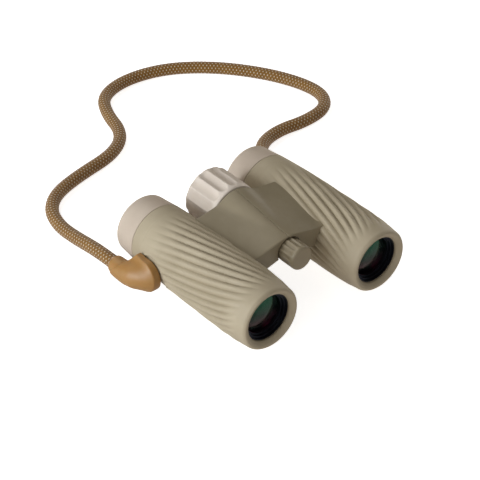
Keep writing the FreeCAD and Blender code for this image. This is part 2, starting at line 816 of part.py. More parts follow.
def flange_tail(side):
    """The pointed part of the flange, which reaches up and back to the outlet."""
    body = doc.addObject("PartDesign::Body", f"{side}_flange_tail")
    sketch = sketch_on(body, f"{side}_flange_outline", "YZ_Plane")
    polygon(sketch, [
        ("flange_corner_back", "flange_corner_up"),
        ("flange_tail_back", "-flange_tail_drop"),
        ("flange_tail_back", "-flange_tail_drop - flange_tail_edge"),
        ("flange_foot_back", "-flange_foot_up"),
        ("-flange_foot_back", "flange_foot_up"),
    ])
    pad = body.newObject("PartDesign::Pad", f"{side}_flange_pad")
    pad.Profile = sketch
    pad.setExpression("Length", formula("flange_thick"))
    pad.Reversed = SIDES[side] < 0
    place(body, x=f"{SIDES[side]} * (axis_spacing / 2 + {FLANGE_START})",
          y=f"{FRONT} + lug_at", z="barrel_radius - lug_drop")
    return body


def strap_fittings(side):
    sign = SIDES[side]
    lug = fuse(f"{side}_lug_blank", [
        stud(f"{side}_lug_stud", sign, "lug_radius", f"{TUBE_BORE} - lug_root",
             f"{FLANGE_END} - lug_seat"),
        stud(f"{side}_lug_neck", sign, "lug_neck", TUBE_BORE, FLANGE_START),
    ])
    clear = [
        rod(f"{side}_lug_inside", on_barrel(sign), TUBE_BORE, "0", "body_length"),
        cut(f"{side}_lug_wall",
            rod(f"{side}_lug_tube", on_barrel(sign), TUBE_RADIUS, "0", "body_length"),
            [stud(f"{side}_lug_way", sign, "lug_radius", "0", "barrel_radius")]),
    ]
    named(cut(f"{side}_strap_lug", lug, clear), f"{side}_strap_lug")
    disc = stud(f"{side}_flange", sign, "flange_radius", FLANGE_START, FLANGE_END)
    knee_spot = {
        "x": f"{sign} * (axis_spacing / 2 + {FLANGE_START} + knee_reach)",
        "y": f"{FRONT} + lug_at + knee_back",
        "z": "barrel_radius - lug_drop - knee_drop",
    }
    seam_outside = Rotation(Vector(0, 0, 1), 90 - 90 * sign)
    knee = primitive("Part::Sphere", f"{side}_knee", dict(knee_spot, rotation=seam_outside),
                     Radius="knee_radius")
    spot = outlet_spot(side, "0")
    neck = rod(f"{side}_outlet", spot, "elbow_radius", "flange_radius / 2", "elbow_length")
    taper = primitive("Part::Cone", f"{side}_taper", dict(knee_spot, rotation=ALONG_Y),
                      Radius1="knee_taper_start", Radius2="knee_taper_end", Height="knee_taper_length")
    seat_start, seat_radius = "elbow_length - ferrule_length", "rope_radius + ferrule_wall"
    socket = rod(f"{side}_socket", spot, seat_radius, seat_start, "elbow_length + cutter_spare")
    bore = rod(f"{side}_ferrule_bore", spot, "rope_radius", seat_start, "elbow_length")
    sleeve = rod(f"{side}_ferrule_blank", spot, seat_radius, seat_start, "elbow_length")
    shell = fuse(f"{side}_elbow", [disc, flange_tail(side), knee, neck, taper])
    behind = stud(f"{side}_behind", sign, "barrel_radius * 2", "0", FLANGE_START)
    seat = stud(f"{side}_lug_seat", sign, "lug_radius", "0", f"{FLANGE_END} - lug_seat")
    named(cut(f"{side}_strap_connector", shell, [socket, behind, seat]), f"{side}_strap_connector")
    named(cut(f"{side}_rope_ferrule", sleeve, [bore]), f"{side}_rope_ferrule")


for side in SIDES:
    arm = bridge(side)
    barrel_tube(side)
    armour(side, arm)
    objective(side)
    focusing(side)
    prisms(side)
    eyepiece(side)
    eyecup(side)
    strap_fittings(side)

# ---------------------------------------------------------------- hinge and focusing train
shaft = ring("shaft_blank", ON_HINGE, "shaft_bore", "shaft_radius", RECESS_FLOOR, SHAFT_END, keep=False)
right_slot = arm_slot("right", "shaft_right_slot")
slope = math.degrees(math.atan2(number("hinge_rise"), number("axis_spacing / 2")))
spread = math.degrees(math.asin(number("(arm_height / 2 + free_gap) / shaft_bore")))
sector_turn = Rotation(Vector(0, 1, 0), slope - spread).multiply(Rotation(Vector(1, 0, 0), -90))
sector_start = f"{ARM_AT['left']} - ({SLOT_SPARE})"
sector = primitive(
    "Part::Cylinder", "shaft_left_slot",
    dict(ON_HINGE, y=f"{FRONT} + {sector_start}", rotation=sector_turn),
    Radius="knuckle_radius",
    Height=f"arm_thick + focus_travel + 2 * ({SLOT_SPARE})",
    Angle=f"fold_angle + {2 * spread}",
)
named(cut("hinge_tube", shaft, [right_slot, sector]), "hinge_tube")

washers = doc.addObject("Part::Compound", "hinge_washers")
washers.Links = [
    ring(f"washer_{index}", ON_HINGE, "shaft_radius", "knuckle_radius", start,
         f"{start} + washer_thick", keep=False)
    for index, start in enumerate((FRONT_WASHER, REAR_WASHER))
]
named(washers, "hinge_washers")

bobbin = "shaft_bore - running_gap"
CARRIAGE_START = f"{ARM_AT['left']} - carriage_length / 2"
CARRIAGE_END = f"{CARRIAGE_START} + carriage_length"
groove_start = f"{ARM_AT['left']} - running_gap"
groove_end = f"{ARM_AT['left']} + arm_thick + running_gap"
SCREW_TIP = f"{CARRIAGE_START} + focus_travel + screw_inset"
turned("focus_carriage", ON_HINGE, [
    ("0", CARRIAGE_START),
    (bobbin, CARRIAGE_START),
    (bobbin, groove_start),
    ("groove_radius", groove_start),
    ("groove_radius", groove_end),
    (bobbin, groove_end),
    (bobbin, CARRIAGE_END),
    ("screw_radius + running_gap", CARRIAGE_END),
    ("screw_radius + running_gap", f"{CARRIAGE_START} + carriage_floor"),
    ("0", f"{CARRIAGE_START} + carriage_floor"),
])
COLLAR_START = f"{ARM_AT['right']} - (collar_length - arm_thick) / 2"
COLLAR_END = f"{COLLAR_START} + collar_length"
turned("diopter_collar", ON_HINGE, [
    ("rod_radius + running_gap", COLLAR_START),
    (bobbin, COLLAR_START),
    (bobbin, f"{ARM_AT['right']} - running_gap"),
    ("groove_radius", f"{ARM_AT['right']} - running_gap"),
    ("groove_radius", f"{ARM_AT['right']} + arm_thick + running_gap"),
    (bobbin, f"{ARM_AT['right']} + arm_thick + running_gap"),
    (bobbin, COLLAR_END),
    ("rod_radius + running_gap", COLLAR_END),
])
screw_flange = f"{SHAFT_END} - screw_flange_length"
turned("focus_screw", ON_HINGE, [
    ("0", SCREW_TIP),
    ("screw_radius", SCREW_TIP),
    ("screw_radius", screw_flange),
    (bobbin, screw_flange),
    (bobbin, SHAFT_END),
    ("spigot_radius", SHAFT_END),
    ("spigot_radius", f"{WHEEL_END} - hub_inset"),
    ("spigot_radius / 2", f"{WHEEL_END} - hub_inset"),
    ("spigot_radius / 2", f"{WHEEL_END} - wheel_screw_length"),
    ("0", f"{WHEEL_END} - wheel_screw_length"),
])

wheel_inner = "wheel_radius - wheel_rim"
cap_seat = f"{WHEEL_END} - cap_thick - cap_inset"
wheel = turned("focus_wheel", ON_HINGE, [
    ("shaft_radius + running_gap", WHEEL_FACE),
    ("wheel_radius", WHEEL_FACE),
    ("wheel_radius", WHEEL_END),
    (f"{wheel_inner} + cap_step", WHEEL_END),
    (f"{wheel_inner} + cap_step", cap_seat),
    (wheel_inner, cap_seat),
    (wheel_inner, f"{SHAFT_END} + wheel_web"),
    ("wheel_hub", f"{SHAFT_END} + wheel_web"),
    ("wheel_hub", f"{WHEEL_END} - hub_inset"),
    ("spigot_radius", f"{WHEEL_END} - hub_inset"),
    ("spigot_radius", SHAFT_END),
    ("shaft_radius + running_gap", SHAFT_END),
])
round_front(wheel, "wheel_radius", "wheel_rear_round", which=-1)
round_front(wheel, "wheel_radius", "wheel_front_round")
flute(wheel, "scallop", "wheel_radius", "scallop_depth", "scallop_radius", "scallop_count",
      f"{WHEEL_FACE} + scallop_margin", f"{WHEEL_END} - scallop_margin")
ring("wheel_cap", ON_HINGE, "spigot_radius / 2", f"{wheel_inner} + cap_step", cap_seat,
     f"{cap_seat} + cap_thick")
turned("wheel_screw", ON_HINGE, [
    ("0", f"{WHEEL_END} - wheel_screw_length"),
    ("spigot_radius / 2", f"{WHEEL_END} - wheel_screw_length"),
    ("spigot_radius / 2", f"{cap_seat} + cap_thick"),
    ("screw_head_radius", f"{cap_seat} + cap_thick"),
    ("screw_head_radius", f"{cap_seat} + cap_thick + screw_head"),
    ("0", f"{cap_seat} + cap_thick + screw_head"),
])

dial = turned("diopter_dial", ON_HINGE, [
    ("0", DIAL_FACE),
    ("dial_radius", DIAL_FACE),
    ("dial_radius", f"{RECESS_FLOOR} - free_gap"),
    ("shaft_bore - running_gap", f"{RECESS_FLOOR} - free_gap"),
    ("shaft_bore - running_gap", f"{RECESS_FLOOR} + dial_spigot"),
    ("rod_radius", f"{RECESS_FLOOR} + dial_spigot"),
    ("rod_radius", f"{DIAL_FACE} + rod_seat"),
    ("0", f"{DIAL_FACE} + rod_seat"),
])
round_front(dial, "dial_radius", "dial_round")
flute(dial, "dial_flute", "dial_radius", "flute_depth", "flute_radius", "flute_count",
      f"{DIAL_FACE} + flute_inset", f"{RECESS_FLOOR} - free_gap")
rod_end = f"{CARRIAGE_START} - rod_inset"
turned("diopter_rod", ON_HINGE, [
    ("0", f"{DIAL_FACE} + rod_seat"),
    ("rod_radius", f"{DIAL_FACE} + rod_seat"),
    ("rod_radius", rod_end),
    ("0", rod_end),
])

# ---------------------------------------------------------------- strap rope
# The points of the rope's line, from the right connector round to the left one.
ROPE_FLOOR = 3.9
ROPE_POINTS = [
    (-60.6, 82.0, 5.2),
    (-59.6, 96.0, ROPE_FLOOR),
    (-55.5, 109.5, ROPE_FLOOR),
    (-44.5, 120.5, ROPE_FLOOR),
    (-25.0, 127.0, ROPE_FLOOR),
    (4.0, 132.5, ROPE_FLOOR),
    (20.5, 146.5, ROPE_FLOOR),
    (26.0, 170.0, ROPE_FLOOR),
    (35.5, 187.0, ROPE_FLOOR),
    (57.0, 194.0, ROPE_FLOOR),
    (84.5, 189.0, ROPE_FLOOR),
    (109.5, 170.5, ROPE_FLOOR),
    (128.5, 144.5, ROPE_FLOOR),
    (138.0, 120.5, ROPE_FLOOR),
    (138.5, 103.0, ROPE_FLOOR),
    (129.0, 91.5, ROPE_FLOOR),
    (111.0, 88.5, ROPE_FLOOR),
    (93.0, 91.0, ROPE_FLOOR),
    (77.0, 87.5, ROPE_FLOOR),
    (66.0, 76.0, 5.4),
]


def rope_end(side, start):
    """Where the rope begins on the outlet's axis, and a point straight out of its mouth."""
    points = []
    for along in (start, "elbow_length + rope_lead"):
        spot = outlet_spot(side, along)
        points.append(tuple(number(spot[letter]) for letter in "xyz"))
    return points


def rope_path(points):
    """Straight runs joined by tangent arcs as large as the runs allow."""
    spots = [Vector(*point) for point in points]
    edges = []
    cursor = spots[0]
    radii = []
    for before, corner, after in zip(spots, spots[1:], spots[2:]):
        back, ahead = (before - corner), (after - corner)
        turn = math.pi - back.getAngle(ahead)
        tangent = 0.45 * min(back.Length, ahead.Length)
        radius = tangent / math.tan(turn / 2)
        radii.append(radius)
        start = corner + back.normalize() * tangent
        end = corner + ahead.normalize() * tangent
        middle_way = (back + ahead).normalize()
        centre = corner + middle_way * (radius / math.cos(turn / 2))
        middle = centre - middle_way * radius
        edges.append(Part.LineSegment(cursor, start).toShape())
        edges.append(Part.Arc(start, middle, end).toShape())
        cursor = end
    edges.append(Part.LineSegment(cursor, spots[-1]).toShape())
    print("rope radii:", [round(radius, 1) for radius in radii])
    return Part.Wire(edges)


def strap_rope():
    right_end = rope_end("right", "elbow_length - ferrule_length")
    left_end = rope_end("left", "elbow_length + free_gap")
    path = rope_path(right_end + ROPE_POINTS + left_end[::-1])
    radius = number("rope_radius")
    start = Vector(*right_end[0])
    direction = Vector(*right_end[1]) - start
    profile = Part.Wire([Part.Circle(start, direction, radius).toShape()])
    tube = path.makePipeShell([profile], True, False)
    expected = math.pi * radius * radius * path.Length
    print("rope length:", round(path.Length, 1), "volume ratio:", round(tube.Volume / expected, 4))
    rope = doc.addObject("Part::Feature", "strap_rope")
    rope.Shape = tube
    rope.Placement = Placement()
    return named(rope, "strap_rope")


strap_rope()


# ---------------------------------------------------------------- checks and files
doc.recompute()
for item in doc.Objects:
    if "Invalid" in item.State or "Error" in item.State:
        raise RuntimeError(f"{item.Label} did not compute: {item.State}")
for piece in nodes:
    if piece.Shape.isNull() or not piece.Shape.isValid() or not piece.Shape.Solids:
        raise RuntimeError(f"{piece.Label} has no valid solid")
os.makedirs("parts", exist_ok=True)
for piece in nodes:
    piece.Shape.exportStep(f"parts/{piece.Label}.step")
print(len(nodes), "sub-parts written")
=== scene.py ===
import json
import math

import bpy
import numpy as np
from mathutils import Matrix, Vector


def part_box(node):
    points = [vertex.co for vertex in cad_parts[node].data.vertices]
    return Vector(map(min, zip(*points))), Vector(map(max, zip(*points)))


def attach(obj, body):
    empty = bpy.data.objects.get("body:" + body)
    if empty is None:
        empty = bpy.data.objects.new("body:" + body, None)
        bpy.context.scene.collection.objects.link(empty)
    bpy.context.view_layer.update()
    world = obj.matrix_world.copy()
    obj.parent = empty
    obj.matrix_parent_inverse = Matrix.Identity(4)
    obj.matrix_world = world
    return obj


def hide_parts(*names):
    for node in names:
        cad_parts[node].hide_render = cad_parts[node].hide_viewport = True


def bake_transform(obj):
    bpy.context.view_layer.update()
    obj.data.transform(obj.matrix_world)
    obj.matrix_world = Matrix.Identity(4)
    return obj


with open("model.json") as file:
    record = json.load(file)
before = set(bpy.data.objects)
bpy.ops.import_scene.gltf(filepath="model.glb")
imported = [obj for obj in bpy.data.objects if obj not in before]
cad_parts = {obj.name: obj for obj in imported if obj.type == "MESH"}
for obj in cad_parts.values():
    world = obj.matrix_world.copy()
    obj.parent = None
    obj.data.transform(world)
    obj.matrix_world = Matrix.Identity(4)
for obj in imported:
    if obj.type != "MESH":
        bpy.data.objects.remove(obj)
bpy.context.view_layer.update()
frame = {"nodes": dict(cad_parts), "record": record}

MM = 0.001
SIDES = {"right": -1, "left": 1}

# Lengths below are in millimetres until a mesh is made. "At" counts back from the objective
# end, "out" from the hinge or a barrel's axis towards the side, and "up" from the floor.


def box(node):
    """A CAD node's lowest and highest corners, in millimetres."""
    low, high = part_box(node)
    return np.array(low) / MM, np.array(high) / MM


def half_width(node):
    low, high = box(node)
    return (high[0] - low[0]) / 2


def run_of(node):
    """Where a node starts and ends, counted back from the objective end."""
    low, high = box(node)
    return low[1] - FRONT_Y, high[1] - FRONT_Y


FRONT_Y = box("left_armour")[0][1]
HINGE_UP = sum(corner[2] for corner in box("diopter_dial")) / 2
TAU = 2 * math.pi
PIECE_SHARP, NODE_SHARP = 42, 30  # edges sharper than this many degrees stay crisp


# ---------------------------------------------------------------- camera and rope route
CAMERA_PLACE = (-0.4416, -0.5159, 0.5253)  # metres
CAMERA_DROP, CAMERA_HEADING = 36.64, -39.74  # degrees below level, and about the vertical
CAMERA_LENS, CAMERA_SENSOR = 123.6, 36


def camera():
    data = bpy.data.cameras.new("camera")
    data.lens = CAMERA_LENS
    data.sensor_width = CAMERA_SENSOR
    data.clip_start, data.clip_end = 0.01, 20
    made = bpy.data.objects.new("camera", data)
    made.location = CAMERA_PLACE
    made.rotation_euler = (math.radians(90 - CAMERA_DROP), 0, math.radians(CAMERA_HEADING))
    bpy.context.scene.collection.objects.link(made)
    bpy.context.scene.camera = made


camera()

ROPE_RADIUS = 3.8
ROPE_FLOOR = ROPE_RADIUS + 0.1  # height of the rope's middle where it lies on the floor
OUTLET_OUT, OUTLET_UP = 61.4, 10.7
# Where the rope starts inside its ferrule, leaves the connector, and begins to bend.
SEAT_Y, MOUTH_Y, LEAD_Y = 38.0, 42.0, 54.0
ROPE_POINTS = [
    (-OUTLET_OUT, SEAT_Y, OUTLET_UP),
    (-OUTLET_OUT, LEAD_Y, OUTLET_UP),
    (-60.6, 82.0, 5.2),
    (-59.6, 96.0, ROPE_FLOOR),
    (-55.5, 109.5, ROPE_FLOOR),
    (-44.5, 120.5, ROPE_FLOOR),
    (-25.0, 127.0, ROPE_FLOOR),
    (4.0, 132.5, ROPE_FLOOR),
    (20.5, 146.5, ROPE_FLOOR),
    (26.0, 170.0, ROPE_FLOOR),
    (35.5, 187.0, ROPE_FLOOR),
    (57.0, 194.0, ROPE_FLOOR),
    (84.5, 189.0, ROPE_FLOOR),
    (109.5, 170.5, ROPE_FLOOR),
    (128.5, 144.5, ROPE_FLOOR),
    (138.0, 120.5, ROPE_FLOOR),
    (138.5, 103.0, ROPE_FLOOR),
    (129.0, 91.5, ROPE_FLOOR),
    (111.0, 88.5, ROPE_FLOOR),
    (93.0, 91.0, ROPE_FLOOR),
    (77.0, 87.5, ROPE_FLOOR),
    (66.0, 76.0, 5.4),
    (OUTLET_OUT, LEAD_Y, OUTLET_UP),
    (OUTLET_OUT, SEAT_Y, OUTLET_UP),
]


# ---------------------------------------------------------------- mesh helpers
def smoothstep(low, high, value):
    share = np.clip((value - low) / (high - low), 0, 1)
    return share * share * (3 - 2 * share)


def soft_max(a, b, reach):
    """The larger of two fields, with a fillet where they meet."""
    return 0.5 * (a + b + np.sqrt((a - b) ** 2 + reach * reach))


def soft_min(a, b, reach):
    return -soft_max(-a, -b, reach)


def rounded(corners, steps=7):
    """A closed outline from (radius, at, fillet) corners, with an arc at each fillet."""
    points = []
    spots = [np.array(corner[:2], float) for corner in corners]
    for index, corner in enumerate(corners):
        here, fillet = spots[index], corner[2]
        back = spots[index - 1] - here
        ahead = spots[(index + 1) % len(spots)] - here
        if not fillet:
            points.append(here)
            continue
        reach_back, reach_ahead = np.linalg.norm(back), np.linalg.norm(ahead)
        back, ahead = back / reach_back, ahead / reach_ahead
        half = math.acos(np.clip(back @ ahead, -1, 1)) / 2
        tangent = min(fillet / math.tan(half), 0.49 * reach_back, 0.49 * reach_ahead)
        start, end = here + back * tangent, here + ahead * tangent
        for share in np.linspace(0, 1, steps):
            # A quadratic curve through the corner stays close to the arc.
            middle = 2 * share * (1 - share)
            points.append((1 - share) ** 2 * start + middle * here + share**2 * end)
    return np.array(points)


def divided(outline, step):
    """The closed outline with no side longer than step."""
    points = []
    for here, ahead in zip(outline, np.roll(outline, -1, axis=0)):
        count = max(1, int(np.linalg.norm(ahead - here) / step))
        points += [here + (ahead - here) * index / count for index in range(count)]
    return np.array(points)


def smooth_mesh(name, points, faces, slot):
    """An object made of millimetre points, with the finish of its slot."""
    mesh = bpy.data.meshes.new(name)
    mesh.from_pydata((points * MM).tolist(), [], faces)
    mesh.shade_smooth()
    mesh.materials.append(FINISHES[slot])
    made = bpy.data.objects.new(name, mesh)
    bpy.context.scene.collection.objects.link(made)
    return made


def piece(name, points, faces, body, slot, replaced):
    """A smooth mesh that rides on a CAD body in place of one of its nodes."""
    made = smooth_mesh(name, points, faces.tolist(), slot)
    made.data.set_sharp_from_angle(angle=math.radians(PIECE_SHARP))
    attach(made, body)
    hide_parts(replaced)
    return made


def mark(made, name, values):
    """Keeps one number per vertex for the material."""
    attribute = made.data.attributes.new(name, "FLOAT", "POINT")
    attribute.data.foreach_set("value", np.asarray(values, np.float32).ravel())


def grid_faces(rows, columns, closed_rows=True):
    """Quads over a grid that closes round its columns, and round its rows if asked."""
    bands = rows if closed_rows else rows - 1
    row, column = np.meshgrid(np.arange(bands), np.arange(columns), indexing="ij")
    next_row, next_column = (row + 1) % rows, (column + 1) % columns
    corners = [row * columns + column, row * columns + next_column,
               next_row * columns + next_column, next_row * columns + column]
    return np.stack(corners, axis=-1).reshape(-1, 4)


def turned(outline, count, axis_x, axis_z, shape=None):
    """A closed outline of (radius, at) turned about an axis along Y: points, faces, hollows.

    The shape function moves the turned points and says how sunken the surface is at each, which
    the material darkens as painted shade.
    """
    angle = np.repeat((np.arange(count) * TAU / count)[None, :], len(outline), axis=0)
    radius = np.repeat(outline[:, :1], count, axis=1)
    at = np.repeat(outline[:, 1:], count, axis=1)
    hollow_shade = np.zeros(radius.shape)
    if shape:
        radius, angle, hollow_shade = shape(radius, at, angle)
    across, height = radius * np.sin(angle), radius * np.cos(angle)
    points = np.stack([axis_x + across, FRONT_Y + at, axis_z + height], axis=-1)
    return points.reshape(-1, 3), grid_faces(len(outline), count), hollow_shade


EDGES = [(a, b) for a in range(8) for b in range(a + 1, 8) if bin(a ^ b).count("1") == 1]


def crossing_cells(values):
    """Where each grid cell's surface point lies, and which cells have one."""
    shape = tuple(size - 1 for size in values.shape)

    def corner(index):
        starts = [index >> axis & 1 for axis in range(3)]
        return values[tuple(slice(start, start + size) for start, size in zip(starts, shape))]

    total = np.zeros(shape + (3,))
    count = np.zeros(shape)
    for a, b in EDGES:
        start, end = corner(a), corner(b)
        crossed = (start < 0) != (end < 0)
        share = np.where(crossed, start / np.where(crossed, start - end, 1), 0)
        for axis in range(3):
            low, high = a >> axis & 1, b >> axis & 1
            total[..., axis] += np.where(crossed, low + (high - low) * share, 0)
        count += crossed
    return total / np.maximum(count, 1)[..., None], count > 0


def surface_of(field, low, high, step):
    """A quad mesh over the zero surface of a field that is negative inside."""
    axes = [np.arange(low[axis], high[axis] + step, step) for axis in range(3)]
    values = field(*np.meshgrid(*axes, indexing="ij"))
    offsets, active = crossing_cells(values)
    number = np.full(active.shape, -1)
    number[active] = np.arange(active.sum())
    points = (np.argwhere(active) + offsets[active]) * step + np.array([axis[0] for axis in axes])
    faces = []
    for axis in range(3):
        u, v = (axis + 1) % 3, (axis + 2) % 3
        inside = np.moveaxis(values < 0, (axis, u, v), (0, 1, 2))
        cells = np.moveaxis(number, (axis, u, v), (0, 1, 2))
        crossed = inside[:-1, 1:-1, 1:-1] != inside[1:, 1:-1, 1:-1]
        quads = np.stack([
            cells[:, :-1, :-1], cells[:, 1:, :-1], cells[:, 1:, 1:], cells[:, :-1, 1:],
        ], axis=-1)
        chosen, outward = quads[crossed], inside[:-1, 1:-1, 1:-1][crossed]
        faces += [chosen[outward], chosen[~outward][:, ::-1]]
    # A few Newton steps bring the points onto the surface.
    delta = step * 0.05
    for _ in range(3):
        here = field(*points.T)
        slope = np.stack([
            (field(*(points + shift).T) - field(*(points - shift).T)) / (2 * delta)
            for shift in np.eye(3) * delta
        ], axis=-1)
        move = here[:, None] * slope / np.maximum((slope**2).sum(1), 1e-6)[:, None]
        points = points - np.clip(move, -step / 2, step / 2)
    return points, np.concatenate(faces)


# ---------------------------------------------------------------- materials
def shade(red, green, blue):
    """A display colour as the linear one that a shader takes."""
    levels = [level / 255 for level in (red, green, blue)]
    return tuple(
        level / 12.92 if level <= 0.04045 else ((level + 0.055) / 1.055) ** 2.4 for level in levels
    ) + (1.0,)


class Finish:
    """A node material, with short names for what most finishes need."""

    def __init__(self, name, **settings):
        self.material = bpy.data.materials.new(name)
        self.material.use_nodes = True
        self.tree = self.material.node_tree
        self.shader = self.tree.nodes["Principled BSDF"]
        self.place = self.tree.nodes.new("ShaderNodeTexCoord").outputs["Object"]
        for socket, value in settings.items():
            self.shader.inputs[socket.replace("_", " ")].default_value = value

    def add(self, kind, output, **inputs):
        made = self.tree.nodes.new(kind)
        for socket, value in inputs.items():
            self.feed(made.inputs[socket.replace("_", " ")], value)
        return made.outputs[output]

    def feed(self, socket, value):
        if isinstance(value, bpy.types.NodeSocket):
            self.tree.links.new(value, socket)
        else:
            socket.default_value = value

    def maths(self, operation, first, second=0.0, third=0.0):
        made = self.tree.nodes.new("ShaderNodeMath")
        made.operation = operation
        for socket, value in zip(made.inputs, (first, second, third)):
            self.feed(socket, value)
        return made.outputs["Value"]

    def noise(self, size, detail=3.0, where=None):
        """Soft noise with features about size millimetres across."""
        return self.add("ShaderNodeTexNoise", "Fac", Vector=where or self.place,
                        Scale=1 / (size * MM), Detail=detail)

    def stretched(self, x, y, z):
        """Object coordinates scaled along each axis."""
        made = self.tree.nodes.new("ShaderNodeVectorMath")
        made.operation = "MULTIPLY"
        self.feed(made.inputs[0], self.place)
        made.inputs[1].default_value = (x, y, z)
        return made.outputs["Vector"]

    def spread(self, value, low, high, start=0.3, end=0.7):
        """The value's usual range mapped onto another."""
        return self.add("ShaderNodeMapRange", "Result", Value=value, From_Min=start, From_Max=end,
                        To_Min=low, To_Max=high)

    def blend(self, share, first, second):
        made = self.tree.nodes.new("ShaderNodeMix")
        made.data_type = "RGBA"
        self.feed(made.inputs[0], share)
        self.feed(made.inputs[6], first)
        self.feed(made.inputs[7], second)
        return made.outputs[2]

    def attribute(self, name):
        made = self.tree.nodes.new("ShaderNodeAttribute")
        made.attribute_name = name
        return made.outputs["Fac"]

    def bump(self, height, depth, strength=1.0, under=None):
        """Relief of depth millimetres, on top of another relief if given."""
        extra = {"Normal": under} if under else {}
        return self.add("ShaderNodeBump", "Normal", Height=height, Distance=depth * MM,
                        Strength=strength, **extra)

    def done(self, **inputs):
        for socket, value in inputs.items():
            self.feed(self.shader.inputs[socket.replace("_", " ")], value)
        return self.material


TOOL_MARK = 0.12  # millimetres
GLASS_ROUGHNESS = (0.01, 0.04)


def moulded(name, light, dark, rough, grain=0.22, relief=0.012, patch=14, hollow_shade=None, **settings):
    """Moulded rubber or plastic: soft patches of colour, a fine moulded grain and uneven gloss.

    Grain, relief and patch are in millimetres. The optional pair for sunken places is an amount
    and a dark colour of painted shade.
    """
    finish = Finish(name, **settings)
    patches = finish.spread(finish.noise(patch), 0.0, 1.0)
    colour = finish.blend(patches, dark, light)
    specks = finish.spread(finish.noise(grain * 2.5, 2), 0.0, 0.16, 0.5, 0.75)
    colour = finish.blend(specks, colour, dark)
    # Painted shade: the colour darkens towards the dark colour where the mesh is marked sunken.
    if hollow_shade:
        amount, hollow_shade_colour = hollow_shade
        share = finish.maths("MULTIPLY", finish.attribute("hollow_shade"), amount)
        colour = finish.blend(share, colour, hollow_shade_colour)
    low, high = rough
    gloss = finish.spread(finish.noise(patch / 5, 4), low, high)
    pits = finish.bump(finish.noise(grain, 2), relief)
    waves = finish.bump(finish.noise(patch / 2), relief * 2.5, 0.5, pits)
    return finish.done(Base_Color=colour, Roughness=gloss, Normal=waves)


def machined(name, light, dark, rough):
    """Turned metal: rings of tool marks across the axis, and a few duller patches."""
    finish = Finish(name, Metallic=1.0)
    rings = finish.noise(TOOL_MARK, 2, finish.stretched(0.02, 1, 0.02))
    colour = finish.blend(finish.spread(finish.noise(6), 0, 1), dark, light)
    colour = finish.blend(finish.spread(rings, 0, 0.35), colour, dark)
    gloss = finish.spread(finish.noise(3, 4), *rough)
    return finish.done(Base_Color=colour, Roughness=gloss, Normal=finish.bump(rings, 0.004))


def coated_glass_with_painted_reflection(name, tint, low, middle, high):
    """Glass with a coated surface tint and a painted reflection that shifts in colour from its
    lower edge to its upper one.
    """
    finish = Finish(name, Transmission_Weight=1.0, IOR=1.75)
    own_box = finish.add("ShaderNodeTexCoord", "Generated")
    height = finish.add("ShaderNodeSeparateXYZ", "Z", Vector=own_box)
    height = finish.maths("MULTIPLY_ADD", finish.noise(4), 0.16, height)
    # Painted reflection: the specular tint runs from the low colour at the lower edge, through the
    # middle one, to the high one at the upper edge.
    coating_and_painted_reflection = finish.blend(finish.spread(height, 0, 1, 0.2, 0.5), low, middle)
    coating_and_painted_reflection = finish.blend(finish.spread(height, 0, 1, 0.5, 0.85), coating_and_painted_reflection, high)
    faded = [channel * 0.8 for channel in tint[:3]] + [1]
    colour = finish.blend(finish.spread(finish.noise(5), 0, 1), tint, faded)
    gloss = finish.spread(finish.noise(0.5, 5), *GLASS_ROUGHNESS, 0.45, 0.8)
    dust = finish.bump(finish.noise(4), 0.0005)
    return finish.done(Base_Color=colour, Roughness=gloss, Normal=dust, Specular_Tint=coating_and_painted_reflection)


def woven(name):
    """Braided rope: two brown yarns crossing, with a pale tracer dot on each crossing and painted
    shade darkening the low ground between them.
    """
    finish = Finish(name, Sheen_Weight=0.25, Sheen_Roughness=0.5, Specular_IOR_Level=0.3)
    row = finish.add("ShaderNodeSeparateXYZ", "X", Vector=finish.add("ShaderNodeUVMap", "UV"))
    run = row.node.outputs["Y"]

    def wave(value, factor):
        return finish.maths("COSINE", finish.maths("MULTIPLY", value, factor))

    lattice = finish.maths("MULTIPLY", wave(row, math.pi), wave(run, TAU))
    dots = finish.spread(lattice, 0, 1, 0.66, 0.8)
    first = finish.maths("MULTIPLY_ADD", run, 2.0, row)
    second = finish.maths("MULTIPLY_ADD", run, -2.0, row)
    yarns = finish.maths("MAXIMUM", wave(first, math.pi * 4), wave(second, math.pi * 4))
    fibre = finish.noise(0.18, 3)
    patches = finish.spread(finish.noise(5), 0, 1)
    # Painted shade: the brown darkens where the braid sinks lowest between the yarns.
    valley_shade = finish.spread(lattice, 0.75, 0, -1, 0.3)
    brown = finish.blend(patches, shade(134, 94, 36), shade(152, 110, 48))
    brown = finish.blend(valley_shade, brown, shade(104, 70, 24))
    brown = finish.blend(finish.spread(fibre, 0, 0.45), brown, shade(116, 82, 34))
    pale = finish.blend(finish.spread(fibre, 0, 0.5), shade(214, 208, 190), shade(184, 176, 152))
    colour = finish.blend(dots, brown, pale)
    gloss = finish.spread(fibre, 0.62, 0.85)
    relief = finish.bump(yarns, 0.05, 0.4, finish.bump(fibre, 0.04))
    return finish.done(Base_Color=colour, Roughness=gloss, Normal=relief)


